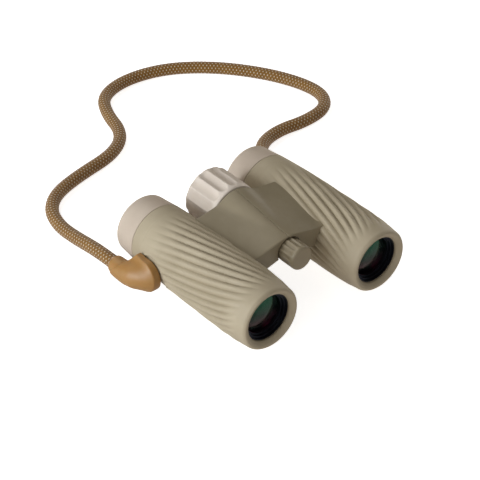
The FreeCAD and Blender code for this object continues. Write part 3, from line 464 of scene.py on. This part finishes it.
FINISHES = {
    # The armour's pair paints shade into its flute valleys.
    "armour": moulded("armour_rubber", shade(178, 166, 142), shade(168, 156, 132), (0.52, 0.66),
                      hollow_shade=(0.55, shade(128, 116, 92)), Specular_IOR_Level=0.35),
    "bridge": moulded("bridge_paint", shade(146, 135, 112), shade(138, 127, 104), (0.42, 0.54),
                      grain=0.16, Specular_IOR_Level=0.35),
    "eyecup_rubber": moulded("eyecup_rubber", shade(196, 182, 166), shade(187, 172, 156),
                             (0.55, 0.7), Specular_IOR_Level=0.3),
    "eyecup_sleeve": moulded("eyecup_sleeve", shade(60, 56, 50), shade(46, 43, 39), (0.4, 0.55)),
    # The wheel's pair paints shade into its scoops.
    "wheel": moulded("wheel_plastic", shade(218, 207, 195), shade(208, 196, 183), (0.44, 0.56),
                     relief=0.006, hollow_shade=(0.3, shade(196, 182, 166))),
    # The dial's pair paints shade into its scoops.
    "dial": moulded("dial_plastic", shade(154, 142, 118), shade(144, 132, 108), (0.4, 0.52),
                    hollow_shade=(0.45, shade(112, 100, 78))),
    "connector": moulded("connector_plastic", shade(166, 124, 70), shade(156, 114, 60),
                         (0.4, 0.52), patch=9, relief=0.006,
                         Subsurface_Weight=0.05, Subsurface_Scale=0.002),
    "black_anodised": machined("black_anodised", shade(66, 70, 80), shade(50, 54, 62),
                               (0.38, 0.52)),
    "aluminium": machined("aluminium", shade(58, 60, 64), shade(40, 42, 46), (0.4, 0.55)),
    "steel": machined("steel", shade(188, 190, 194), shade(130, 132, 136), (0.2, 0.35)),
    "bronze": machined("bronze", shade(168, 128, 78), shade(120, 86, 48), (0.3, 0.45)),
    "ferrule": machined("ferrule", shade(196, 176, 160), shade(160, 138, 120), (0.3, 0.42)),
    "seal": moulded("seal_rubber", shade(34, 34, 34), shade(24, 24, 24), (0.6, 0.75)),
    # Both glasses take a painted reflection tint, graded by height, over their coated tint.
    "objective_glass": coated_glass_with_painted_reflection("objective_glass", (0.15, 0.16, 0.15, 1), (1.0, 0.1, 0.3, 1),
                                    (0.12, 0.16, 0.12, 1), (0.03, 1.0, 0.5, 1)),
    "glass": coated_glass_with_painted_reflection("prism_glass", (0.3, 0.28, 0.3, 1), (0.9, 0.3, 0.6, 1),
                          (0.5, 0.3, 0.5, 1), (0.3, 0.5, 1.0, 1)),
    "rope": woven("rope_weave"),
}


def dress_nodes():
    """Each CAD node takes the finish of its record slot."""
    for entry in frame["record"]["subparts"]:
        mesh = frame["nodes"][entry["node"]].data
        mesh.materials.clear()
        mesh.materials.append(FINISHES[entry["material_slot"]])
        mesh.shade_smooth()
        mesh.set_sharp_from_angle(angle=math.radians(NODE_SHARP))


# ---------------------------------------------------------------- barrels
class Barrel:
    """One armoured barrel's axis and sizes, read from the frame."""

    def __init__(self, side):
        self.sign = SIDES[side]
        low, high = box(f"{side}_armour")
        self.x, self.up = (low[0] + high[0]) / 2, (low[2] + high[2]) / 2
        self.radius = (high[0] - low[0]) / 2
        self.length = high[1] - low[1]
        self.tube = half_width(f"{side}_barrel_tube")


RIDGES, RIDGE_COLUMNS = 28, 14
RIDGE_DEPTH = 1.35
CREST_ROUND = 0.02
RIDGE_START, RIDGE_FULL = 4.0, 19.0
RIDGE_FADE, RIDGE_END = 50.0, 81.7
TWIST_RATE = 0.68  # degrees per millimetre
TWIST_LEAD, TWIST_LENGTH = 23.1, 14.0  # the nose's extra twist, in degrees, and its fade
RIDGE_PHASE = {"right": -12.1, "left": -7.8}
COLLAR_DEPTH, COLLAR_WIDTH = 0.2, 0.35
LUG_AT, LUG_DROP = 71.5, 5.0
PAD_RADIUS, PAD_REACH, PAD_SINK = 10.2, 18.4, 0.35
PAD_RIM_HEIGHT, PAD_RIM_WIDTH = 0.22, 0.55
MOUTH_RADIUS, NOSE_RADIUS, TAIL_RADIUS = 13.0, 17.6, 17.96
LIP_SEAT = 3
SKIN = 0.8


def armour(side):
    """The rubber sleeve: a soft outline, with twisted flutes and a flat pad for the lug."""
    barrel = Barrel(side)
    outline = divided(rounded([
        (barrel.tube, barrel.length, 0),
        (TAIL_RADIUS, barrel.length, 0.35),
        (TAIL_RADIUS + 0.6, barrel.length - 11.5, 60),
        (barrel.radius, 64, 60),
        (barrel.radius, 32, 60),
        (barrel.radius - 0.15, 18, 40),
        (NOSE_RADIUS + 0.7, 9, 20),
        (NOSE_RADIUS, 4, 20),
        (NOSE_RADIUS - 0.25, 1.2, 20),
        (NOSE_RADIUS - 1.5, -0.1, 20),
        (NOSE_RADIUS - 2.8, 0.35, 20),
        (MOUTH_RADIUS + 0.3, 1.7, 2),
        (MOUTH_RADIUS, 2.3, 0.5),
        (MOUTH_RADIUS, LIP_SEAT, 0),
        (barrel.tube, LIP_SEAT, 0),
    ]), 0.62)

    def ridged(radius, at, angle):
        """Twisted flutes that fade in behind the nose and out before the tail."""
        turn = RIDGE_PHASE[side] + TWIST_RATE * at
        turn = turn + TWIST_LEAD * (1 - np.exp(-at / TWIST_LENGTH))
        # The mesh's columns turn with the flutes, which keeps their edges smooth.
        angle = angle + np.radians(turn) * barrel.sign
        outward = (angle * barrel.sign + math.pi) % TAU - math.pi
        phase = (np.degrees(outward) - turn) * RIDGES / 360
        crest = np.sqrt(np.sin(math.pi * phase) ** 2 + CREST_ROUND) / math.sqrt(1 + CREST_ROUND)
        strength = smoothstep(RIDGE_START, RIDGE_FULL, at)
        strength = strength * (1 - smoothstep(RIDGE_FADE, RIDGE_END, at))
        outside = radius > barrel.tube + SKIN
        across, height = radius * np.sin(outward), radius * np.cos(outward)
        from_lug = np.where(across > 0, np.hypot(at - LUG_AT, height + LUG_DROP), 99)
        pad = 1 - smoothstep(PAD_RADIUS - 0.9, PAD_RADIUS - 0.3, from_lug)
        rim = np.exp(-((from_lug - PAD_RADIUS) / PAD_RIM_WIDTH) ** 2)
        depth = RIDGE_DEPTH * strength * (1 - crest) * (1 - pad)
        depth = depth + PAD_SINK * pad - PAD_RIM_HEIGHT * rim
        collar = COLLAR_DEPTH * np.exp(-((at - RIDGE_END) / COLLAR_WIDTH) ** 2)
        moved = radius - np.where(outside, depth + collar, 0)
        limit = np.where(pad > 0.5, PAD_REACH, barrel.radius) / np.maximum(np.sin(outward), 1e-3)
        moved = np.where(outside & (across > 0), np.minimum(moved, limit), moved)
        # Painted shade: the flute valleys are marked, most where they sink furthest, for the
        # material to darken.
        hollow_shade = np.where(outside, strength * (1 - crest) ** 2, 0)
        return np.minimum(moved, barrel.radius), angle, hollow_shade

    columns = RIDGES * RIDGE_COLUMNS
    points, faces, hollow_shade = turned(outline, columns, barrel.x, barrel.up, ridged)
    made = piece(f"{side}_armour_skin", points, faces, f"{side}_half", "armour", f"{side}_armour")
    mark(made, "hollow_shade", hollow_shade)


EYECUP_MOUTH, EYECUP_FLARE = 12.1, 1.6
EYECUP_WAIST, EYECUP_TAPER = 0.75, 1.36
EYECUP_COLUMNS = 120


def eyecup(side):
    """The rubber boot on a twist-up sleeve, tapering a little towards the eye."""
    barrel = Barrel(side)
    wide, sleeve = half_width(f"{side}_eyecup_rubber"), half_width(f"{side}_eyecup_sleeve")
    start, end = run_of(f"{side}_eyecup_rubber")
    floor = run_of(f"{side}_eyecup_sleeve")[1]
    outline = divided(rounded([
        (sleeve, start, 0),
        (wide, start, 0.4),
        (wide - EYECUP_WAIST, (start + end) / 2, 20),
        (wide - EYECUP_TAPER, end, 2.6),
        (EYECUP_MOUTH + EYECUP_FLARE, end, 1.0),
        (EYECUP_MOUTH, floor, 0.3),
        (sleeve, floor, 0),
    ], 9), 1.2)
    points, faces, _ = turned(outline, EYECUP_COLUMNS, barrel.x, barrel.up)
    piece(f"{side}_eyecup_boot", points, faces, f"{side}_eyecup", "eyecup_rubber",
          f"{side}_eyecup_rubber")


# ---------------------------------------------------------------- bridge
# Heights above and below the hinge line, at these distances out along the arm.
ARM_XS = (0.0, 6.3, 14.0, 28.0)
TOP_FRONT = np.polyfit(ARM_XS, (8.3, 7.7, 5.8, 4.9), 3)
TOP_REAR = np.polyfit(ARM_XS, (10.9, 10.3, 9.3, 7.4), 3)
UNDER = np.polyfit(ARM_XS, (3.0, 3.8, 5.7, 7.4), 3)
HUMP_FRONT, HUMP_REAR = 7.6, 14.3
SEAM = 0.05
KNUCKLE_RADIUS, KNUCKLE_GAP = 6.6, 0.3
WASHER_THICK = 0.5
DIAL_CLEARANCE, DIAL_RECESS = 0.55, 1.5
BARREL_OVERLAP = 1.9
BRIDGE_CELL = 0.4
SEAM_CELLS, ARM_CELLS = 19.5, 72.5
BRIDGE_UNDER, BRIDGE_OVER = 9.0, 16.0
MARGIN = 1.0


def bridge(side):
    """One arm of the hinge: a slab with half a hump, its own knuckles and room for the others."""
    barrel = Barrel(side)
    front = min(box(f"{each}_bridge")[0][1] for each in SIDES)
    rear = box("right_bridge")[1][1]
    split_front, split_rear = (corner[1] for corner in box("hinge_washers"))
    dial_radius, shaft_radius = half_width("diopter_dial"), half_width("hinge_tube")
    if side == "right":
        own = [(front + DIAL_RECESS, split_front), (split_rear, rear)]
        others = [(split_front, split_rear)]
    else:
        inner_front, inner_rear = split_front + WASHER_THICK, split_rear - WASHER_THICK
        own = [(inner_front, inner_rear)]
        others = [(front - MARGIN, inner_front), (inner_rear, rear + MARGIN)]

    def span(y, start, end):
        return np.maximum(start - y, y - end)

    def field(x, y, z):
        out, up = x * barrel.sign, z - HINGE_UP
        share = (y - front) / (rear - front)
        flat = (1 - share) * np.polyval(TOP_FRONT, out) + share * np.polyval(TOP_REAR, out)
        hump_radius = HUMP_FRONT + (HUMP_REAR - HUMP_FRONT) * share
        hump = np.sqrt(np.maximum(hump_radius**2 - out**2, 0.01))
        top = soft_max(flat, hump, 0.3 + 1.5 * np.clip(share, 0, 1)) - 0.15
        from_hinge = np.hypot(out, up)
        slab = soft_max(up - top, -np.polyval(UNDER, out) - up, 0.8)
        slab = soft_max(slab, span(y, front, rear), 0.5)
        slab = soft_max(slab, SEAM - out, 0.06)
        from_barrel = np.hypot(x - barrel.x, z - barrel.up)
        slab = np.maximum(slab, barrel.radius - BARREL_OVERLAP - from_barrel)
        for start, end in others:
            relief = np.maximum(from_hinge - KNUCKLE_RADIUS - KNUCKLE_GAP, span(y, start, end))
            slab = np.maximum(slab, -relief)
        for start, end in own:
            knuckle = soft_max(from_hinge - KNUCKLE_RADIUS, span(y, start, end), 0.2)
            slab = np.minimum(slab, knuckle)
        recess = np.maximum(from_hinge - dial_radius - DIAL_CLEARANCE,
                            span(y, front - MARGIN, front + DIAL_RECESS))
        bore = from_hinge - shaft_radius
        return np.maximum(slab, -np.minimum(recess, bore))

    # The seam lies in the middle of a row of cells, which keeps its edge straight.
    xs = sorted(barrel.sign * SEAM + barrel.sign * cells * BRIDGE_CELL
                for cells in (-SEAM_CELLS, ARM_CELLS))
    low = (xs[0], front - MARGIN, HINGE_UP - BRIDGE_UNDER)
    high = (xs[1], rear + MARGIN, HINGE_UP + BRIDGE_OVER)
    points, faces = surface_of(field, low, high, BRIDGE_CELL)
    piece(f"{side}_bridge_shell", points, faces, f"{side}_half", "bridge", f"{side}_bridge")


# ---------------------------------------------------------------- wheel and dial
KNOB_SIDE = 2.4  # how far in from its widest a knob's scalloped side reaches
WHEEL_SCOOPS, WHEEL_SCOOP_COLUMNS, WHEEL_TURN = 15, 24, 8
WHEEL_BORE, WHEEL_RIM = 5.2, 2.6
DIAL_SCOOPS, DIAL_SCOOP_COLUMNS = 14, 16
DIAL_SHAFT, DIAL_BORE, DIAL_STEP, DIAL_FACE = 3.9, 1.2, 1.0, 1.5
POLE = 0.02


def scooped(count, turn, width, depth, start, end, round_end):
    """Hollows cut along a knob's side, rounded where they end."""
    def shape(radius, at, angle):
        phase = (angle - math.radians(turn)) * count / TAU
        across = (phase - np.round(phase)) / width
        beyond = np.maximum(np.maximum(start - at, at - end), 0) / round_end
        scoop = np.maximum(0, 1 - across**2 - beyond**2)
        # The scoop's profile also sets the painted shade that darkens it.
        hollow_shade = np.where(radius > radius.max() - KNOB_SIDE, scoop, 0)
        return radius - depth * hollow_shade, angle, hollow_shade
    return shape


def knob(name, node, slot, corners, columns, shape):
    """A turned piece on the hinge line, riding on the body named like its node."""
    outline = divided(rounded(corners, 9), 0.6)
    points, faces, hollow_shade = turned(outline, columns, 0, HINGE_UP, shape)
    made = piece(name, points, faces, node, slot, node)
    mark(made, "hollow_shade", hollow_shade)


def wheel():
    radius = half_width("focus_wheel")
    start, end = run_of("focus_wheel")
    seat = run_of("wheel_cap")[0]
    scoops = scooped(WHEEL_SCOOPS, WHEEL_TURN, 0.47, 1.15, start + 5.2, end - 3.2, 3.3)
    knob("focus_wheel_grip", "focus_wheel", "wheel", [
        (WHEEL_BORE, start, 0),
        (radius - 0.3, start, 1.0),
        (radius, start + 6, 30),
        (radius, end, 3.4),
        (radius - WHEEL_RIM, end, 0.5),
        (radius - WHEEL_RIM, seat, 0),
        (WHEEL_BORE, seat, 0),
    ], WHEEL_SCOOPS * WHEEL_SCOOP_COLUMNS, scoops)


def dial():
    radius = half_width("diopter_dial")
    start, end = run_of("diopter_dial")
    scoops = scooped(DIAL_SCOOPS, 0, 0.42, 0.5, start + 3.4, end + 5.0, 1.5)
    knob("diopter_dial_knob", "diopter_dial", "dial", [
        (POLE, start, 0),
        (radius - 0.2, start, 1.9),
        (radius, start + 2.6, 4),
        (radius, end - DIAL_STEP, 0),
        (DIAL_SHAFT, end - DIAL_STEP, 0),
        (DIAL_SHAFT, end, 0),
        (DIAL_BORE, end, 0),
        (DIAL_BORE, start + DIAL_FACE, 0),
        (POLE, start + DIAL_FACE, 0),
    ], DIAL_SCOOPS * DIAL_SCOOP_COLUMNS, scoops)


# ---------------------------------------------------------------- strap
FLANGE_START, FLANGE_THICK, FLANGE_RADIUS = 18.9, 2.3, 8.4
ELBOW_LENGTH, FERRULE_LENGTH, FERRULE_WALL = 22.5, 4.0, 0.6
LUG_RADIUS, LUG_INSET = 3.2, 0.6
OUTLET_RISE = -3.3
# The flange's tail: corners back and up from the lug, clockwise.
FLANGE_TAIL = [(8.0, 9.0), (20.0, -5.0), (20.0, -9.0), (1.7, -8.1), (-1.7, 8.1)]
# The elbow's spine: out from the flange, back and up from the lug, and its radius there.
ELBOW_BACKS = (-1.0, 2.0, 6.0, 10.5, 15.0, 19.0, ELBOW_LENGTH + 2)
ELBOW_OUTS = (1.6, 3.4, 5.4, 6.3, 6.5, 6.5, 6.5)
ELBOW_UPS = (-0.5, -1.1, -2.1, -2.9, OUTLET_RISE, OUTLET_RISE, OUTLET_RISE)
ELBOW_RADII = (5.6, 5.8, 5.7, 5.3, 5.0, 4.8, 4.7)
ELBOW_CELL = 0.33


def elbow(side):
    """The moulded connector: a pointed flange on the lug that flows into a bent sleeve."""
    barrel = Barrel(side)

    def half_planes(back, up):
        """How far outside the flange's pointed tail a spot lies."""
        outside = -99.0
        for (b0, u0), (b1, u1) in zip(FLANGE_TAIL, FLANGE_TAIL[1:] + FLANGE_TAIL[:1]):
            beside = (u0 - u1) * (back - b0) + (b1 - b0) * (up - u0)
            outside = np.maximum(outside, beside / math.hypot(b1 - b0, u1 - u0))
        return outside

    def tapered(out, back, up, start, end):
        """How far outside one straight stretch of the spine a spot lies."""
        axis = np.array(end[:3]) - np.array(start[:3])
        offset = [out - start[0], back - start[1], up - start[2]]
        share = np.clip(sum(o * a for o, a in zip(offset, axis)) / (axis @ axis), 0, 1)
        gap = np.sqrt(sum((o - share * a) ** 2 for o, a in zip(offset, axis)))
        return gap - (start[3] + (end[3] - start[3]) * share)

    backs = np.linspace(ELBOW_BACKS[0], ELBOW_BACKS[-1], 19)
    spine = list(zip(*[
        np.interp(backs, ELBOW_BACKS, values)
        for values in (ELBOW_OUTS, ELBOW_BACKS, ELBOW_UPS, ELBOW_RADII)
    ]))

    def field(x, y, z):
        out = (x - barrel.x) * barrel.sign - FLANGE_START
        back, up = y - (FRONT_Y + LUG_AT), z - (barrel.up - LUG_DROP)
        outline = soft_min(np.hypot(back, up) - FLANGE_RADIUS, half_planes(back, up), 0.4)
        tube = tapered(out, back, up, spine[0], spine[1])
        for start, end in zip(spine[1:], spine[2:]):
            tube = soft_min(tube, tapered(out, back, up, start, end), 0.3)
        block = soft_min(np.maximum(outline, out - FLANGE_THICK), tube, 4.6)
        block = soft_max(block, outline, 0.35)
        body = soft_min(block, tube, 0.5)
        body = soft_max(body, -out, 0.4)
        body = soft_max(body, back - ELBOW_LENGTH, 0.8)
        from_outlet = np.hypot(out - ELBOW_OUTS[-1], up - OUTLET_RISE)
        seat = np.maximum(from_outlet - ROPE_RADIUS - FERRULE_WALL,
                          ELBOW_LENGTH - FERRULE_LENGTH - back)
        lug = np.maximum(np.hypot(back, up) - LUG_RADIUS, out - FLANGE_THICK + LUG_INSET)
        return np.maximum(body, -np.minimum(seat, lug))

    outs = sorted(barrel.x + barrel.sign * (FLANGE_START + value) for value in (-1.5, 14.5))
    low = (outs[0], FRONT_Y + LUG_AT - 10.5, barrel.up - LUG_DROP - 11)
    high = (outs[1], FRONT_Y + LUG_AT + ELBOW_LENGTH + 1.5, barrel.up - LUG_DROP + 11)
    points, faces = surface_of(field, low, high, ELBOW_CELL)
    piece(f"{side}_strap_elbow", points, faces, f"{side}_half", "connector",
          f"{side}_strap_connector")


ROPE_ROWS, ROPE_ROW_COLUMNS = 14, 4
ROPE_PITCH = 2.26
ROPE_STEP = 0.45
STRAND_RISE = 0.08


def rope_line():
    """Evenly spaced points along the rope's smooth route, in millimetres."""
    data = bpy.data.curves.new("rope_route", "CURVE")
    data.dimensions = "3D"
    data.resolution_u = 24
    spline = data.splines.new("NURBS")
    spline.points.add(len(ROPE_POINTS) - 1)
    for point, spot in zip(spline.points, ROPE_POINTS):
        point.co = [value * MM for value in spot] + [1.0]
    spline.order_u = 3
    spline.use_endpoint_u = True
    carrier = bpy.data.objects.new("rope_route", data)
    bpy.context.scene.collection.objects.link(carrier)
    line = bpy.data.meshes.new_from_object(carrier)
    spots = np.array([vertex.co for vertex in line.vertices]) / MM
    bpy.data.objects.remove(carrier)
    bpy.data.meshes.remove(line)
    runs = np.concatenate([[0], np.cumsum(np.linalg.norm(np.diff(spots, axis=0), axis=1))])
    stations = np.linspace(0, runs[-1], int(runs[-1] / ROPE_STEP) + 1)
    line = np.stack([np.interp(stations, runs, spots[:, axis]) for axis in range(3)], axis=-1)
    return line, stations


def rope():
    """The braided strap: a tube with a low lattice relief, charted for its weave."""
    line, stations = rope_line()
    heading = np.gradient(line, axis=0)
    heading /= np.linalg.norm(heading, axis=1)[:, None]
    side_on = np.cross(heading, [0, 0, 1.0])
    side_on /= np.linalg.norm(side_on, axis=1)[:, None]
    upward = np.cross(side_on, heading)
    rows, columns = len(line), ROPE_ROWS * ROPE_ROW_COLUMNS
    around = np.arange(columns) * TAU / columns
    row = around * ROPE_ROWS / TAU
    run = stations / ROPE_PITCH
    lattice = np.cos(math.pi * row)[None, :] * np.cos(TAU * run)[:, None]
    radius = ROPE_RADIUS - 0.1 + STRAND_RISE * lattice
    points = (line[:, None, :]
              + (radius * np.cos(around))[..., None] * side_on[:, None, :]
              + (radius * np.sin(around))[..., None] * upward[:, None, :])
    points = np.concatenate([points.reshape(-1, 3), line[[0, -1]]])
    faces = grid_faces(rows, columns, closed_rows=False).tolist()
    first, last, last_row = rows * columns, rows * columns + 1, (rows - 1) * columns
    ends = []
    for column in range(columns):
        ahead = (column + 1) % columns
        ends.append([first, ahead, column])
        ends.append([last, last_row + column, last_row + ahead])
    made = smooth_mesh("strap_rope_braid", points, faces + ends, "rope")
    chart_rope(made, rows, columns, run)
    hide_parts("strap_rope")
    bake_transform(made)


def chart_rope(made, rows, columns, run):
    """Lays the weave out: one unit per row of yarn around, and one per pitch along."""
    chart = made.data.uv_layers.new(name="chart")
    loops = np.zeros(len(made.data.loops), int)
    made.data.loops.foreach_get("vertex_index", loops)
    vertex_row, vertex_column = np.divmod(np.minimum(loops, rows * columns - 1), columns)
    quads = (rows - 1) * columns
    # The faces that close the ring run on to the next column instead of back to the first.
    wraps = np.zeros(len(loops))
    wraps[: quads * 4] = np.tile([0, 1, 1, 0], quads) * (vertex_column[: quads * 4] == 0)
    around = vertex_column / ROPE_ROW_COLUMNS + wraps * ROPE_ROWS
    uv = np.stack([around, run[vertex_row]], axis=-1)
    chart.data.foreach_set("uv", uv.astype(np.float32).ravel())


# ---------------------------------------------------------------- studio
LAMP_SIDE, LAMP_AIM = 0.8, (0, 0, 0.02)
WARM = (1.0, 0.93, 0.85)
LAMPS = {  # place in metres, power in watts, colour
    "key": ((-1.25, 0.2, 0.35), 15.2, (0.94, 1.0, 1.06)),
    "front_left": ((-0.9, -0.7, 0.5), 2.6, WARM),
    "left_high": ((-0.7, 0.3, 1.3), 2.4, WARM),
    "back_high": ((0.0, 1.0, 1.2), 6.6, (1.0, 0.97, 0.92)),
    "right_low": ((1.3, 0.2, 0.25), 7.4, (1.0, 0.97, 0.9)),
    "front_low": ((0.2, -1.4, 0.3), 2.7, (1.0, 1.0, 1.0)),
}
FLOOR_SIZE, FLOOR_GLOW = 40, 0.82
FLOOR_DARK, FLOOR_PALE = (0.88, 0.88, 0.88, 1), (0.92, 0.92, 0.92, 1)
# The world is bright below the horizon and dark above it, with a soft change between.
WORLD_COLOUR = (1.0, 0.93, 0.88, 1)
WORLD_FADE = {"From Min": -0.1, "From Max": 0.15, "To Min": 0.56, "To Max": 0.02}


def lamp(name, place, power, colour):
    data = bpy.data.lights.new(name, "AREA")
    data.shape = "RECTANGLE"
    data.size = data.size_y = LAMP_SIDE
    data.energy = power
    data.color = colour
    made = bpy.data.objects.new(name, data)
    made.location = place
    made.rotation_mode = "QUATERNION"
    made.rotation_quaternion = (Vector(place) - Vector(LAMP_AIM)).to_track_quat("Z", "Y")
    bpy.context.scene.collection.objects.link(made)


def lay_floor():
    bpy.ops.mesh.primitive_plane_add(size=FLOOR_SIZE)
    floor = bpy.context.object
    floor.name = "studio_floor"
    # The object takes its light from the lamps and the world, and none from the bright floor.
    floor.visible_diffuse = False
    floor.visible_glossy = False
    finish = Finish("studio_floor", Roughness=0.9, Specular_IOR_Level=0.0,
                    Emission_Color=(1, 1, 1, 1), Emission_Strength=FLOOR_GLOW)
    colour = finish.blend(finish.noise(400), FLOOR_DARK, FLOOR_PALE)
    grain = finish.bump(finish.noise(2), 0.01)
    floor.data.materials.append(finish.done(Base_Color=colour, Normal=grain))


def light_world():
    world = bpy.data.worlds.new("studio")
    world.use_nodes = True
    nodes, links = world.node_tree.nodes, world.node_tree.links
    parts = nodes.new("ShaderNodeSeparateXYZ")
    fade = nodes.new("ShaderNodeMapRange")
    background = nodes["Background"]
    for socket, value in WORLD_FADE.items():
        fade.inputs[socket].default_value = value
    background.inputs["Color"].default_value = WORLD_COLOUR
    links.new(nodes.new("ShaderNodeTexCoord").outputs["Generated"], parts.inputs[0])
    links.new(parts.outputs["Z"], fade.inputs["Value"])
    links.new(fade.outputs["Result"], background.inputs["Strength"])
    bpy.context.scene.world = world


def studio():
    lay_floor()
    light_world()
    for name, settings in LAMPS.items():
        lamp(name, *settings)
    bpy.context.scene.view_settings.view_transform = "Standard"


for side in SIDES:
    armour(side)
    eyecup(side)
    bridge(side)
    elbow(side)
wheel()
dial()
dress_nodes()
rope()
studio()
